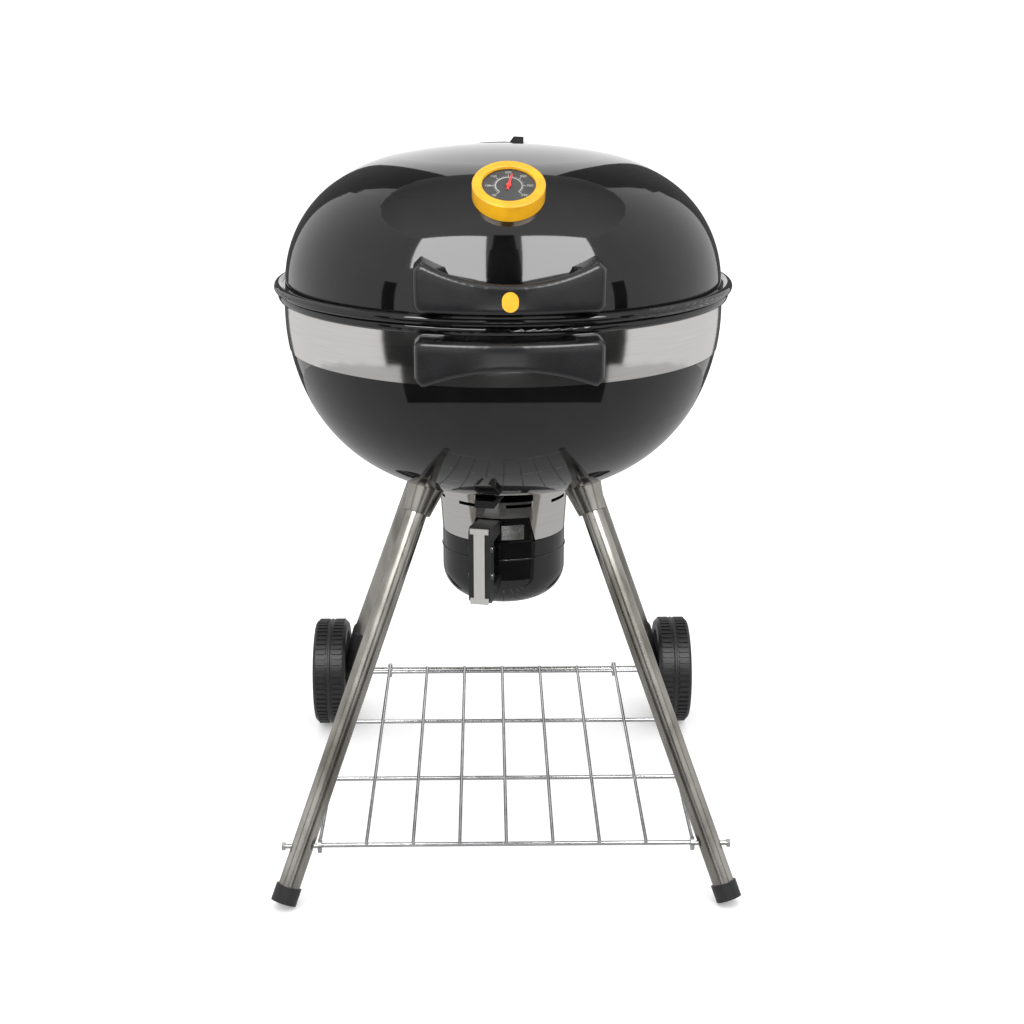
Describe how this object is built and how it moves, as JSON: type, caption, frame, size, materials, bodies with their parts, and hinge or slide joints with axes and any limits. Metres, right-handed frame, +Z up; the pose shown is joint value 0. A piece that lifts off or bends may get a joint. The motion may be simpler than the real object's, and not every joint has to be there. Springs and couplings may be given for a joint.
{
  "type": "kettle charcoal grill",
  "caption": "Round covered charcoal grill on two legs and two wheels, with lid thermometer, hidden ash bucket, damper lever and wire shelf.",
  "frame": {"origin": "on the floor, under the middle of the grill's overall box", "axes": "+Z up, -Y towards the front where the handles and thermometer are, +X to the right seen from the front"},
  "size_m": [0.6034, 0.6854, 0.9369],
  "materials": {
    "enamel": "gloss porcelain enamel",
    "polished_steel": "polished stainless",
    "leg_steel": "polished stainless tube",
    "handle_plastic": "glossy moulded",
    "black_plastic": "fine texture",
    "wheel_plastic": "satin",
    "chrome_wire": "plated wire",
    "plain_steel": "plain steel",
    "bright_steel": "zinc plated",
    "brushed_strap": "brushed stainless",
    "yellow_badge": "gloss",
    "yellow_bezel": "satin gloss",
    "dial_face": "printed dark face",
    "dial_glass": "clear",
    "needle_red": "gloss"
  },
  "bodies": {
    "frame": {"bowl_shell": "enamel", "bowl_band": "polished_steel", "bowl_handle": "handle_plastic", "bowl_handle_screws": "bright_steel", "grate_brackets": "plain_steel", "ash_collar": "polished_steel", "front_leg_right": "leg_steel", "front_leg_left": "leg_steel", "rear_leg_right": "leg_steel", "rear_leg_left": "leg_steel", "leg_sleeves": "leg_steel", "foot_caps": "black_plastic", "axle_brackets": "black_plastic", "axle": "bright_steel", "axle_washers": "bright_steel", "hub_caps": "wheel_plastic", "bottom_shelf": "chrome_wire", "shelf_bolts": "bright_steel"},
    "lid": {"lid_shell": "enamel", "lid_handle": "handle_plastic", "lid_handle_screws": "bright_steel", "lid_emblem": "yellow_badge", "lid_vent_rivet": "bright_steel", "thermometer_base": "black_plastic", "thermometer_bezel": "yellow_bezel", "thermometer_dial": "dial_face", "thermometer_glass": "dial_glass", "thermometer_probe": "bright_steel", "thermometer_nut": "bright_steel"},
    "lid_vent": {"lid_vent_damper": "enamel"},
    "needle": {"thermometer_needle": "needle_red"},
    "cooking_grate_body": {"cooking_grate": "chrome_wire"},
    "charcoal_grate_body": {"charcoal_grate": "plain_steel"},
    "damper": {"damper_blades": "plain_steel", "damper_spindle": "bright_steel", "damper_lever": "brushed_strap", "damper_lever_grip": "black_plastic"},
    "bucket": {"ash_bucket": "enamel", "bucket_latch": "bright_steel", "bucket_handle": "black_plastic", "bucket_handle_strap": "brushed_strap", "bucket_handle_rivets": "bright_steel"},
    "right_wheel": {"wheel_right": "wheel_plastic"},
    "left_wheel": {"wheel_left": "wheel_plastic"}
  },
  "joints": [
    {"name": "lid_lift", "type": "slide", "parent": "frame", "child": "lid", "axis": [0, 0, 1], "range_m": [0, 0.35]},
    {"name": "lid_vent_turn", "type": "hinge", "parent": "lid", "child": "lid_vent", "pos_m": [0, 0.10695, 0.92315], "axis": [0, 0.1653, 0.9862], "range_deg": [-45, 45]},
    {"name": "needle_turn", "type": "hinge", "parent": "lid", "child": "needle", "pos_m": [0.00424, -0.22442, 0.89108], "axis": [0.0108, -0.5357, 0.8443], "range_deg": [-125, 125]},
    {"name": "cooking_grate_lift", "type": "slide", "parent": "frame", "child": "cooking_grate_body", "axis": [0, 0, 1], "range_m": [0, 0.075]},
    {"name": "charcoal_grate_lift", "type": "slide", "parent": "frame", "child": "charcoal_grate_body", "axis": [0, 0, 1], "range_m": [0, 0.1]},
    {"name": "damper_turn", "type": "hinge", "parent": "frame", "child": "damper", "pos_m": [0, -0.01305, 0.47], "axis": [0, 0, 1], "range_deg": [-5, 33]},
    {"name": "ash_bucket_drop", "type": "slide", "parent": "frame", "child": "bucket", "axis": [0, 0, -1], "range_m": [0, 0.1]},
    {"name": "right_wheel_spin", "type": "hinge", "parent": "frame", "child": "right_wheel", "pos_m": [0.272, 0.25865, 0.084], "axis": [1, 0, 0], "continuous": true},
    {"name": "left_wheel_spin", "type": "hinge", "parent": "frame", "child": "left_wheel", "pos_m": [-0.272, 0.25865, 0.084], "axis": [1, 0, 0], "continuous": true}
  ]
}
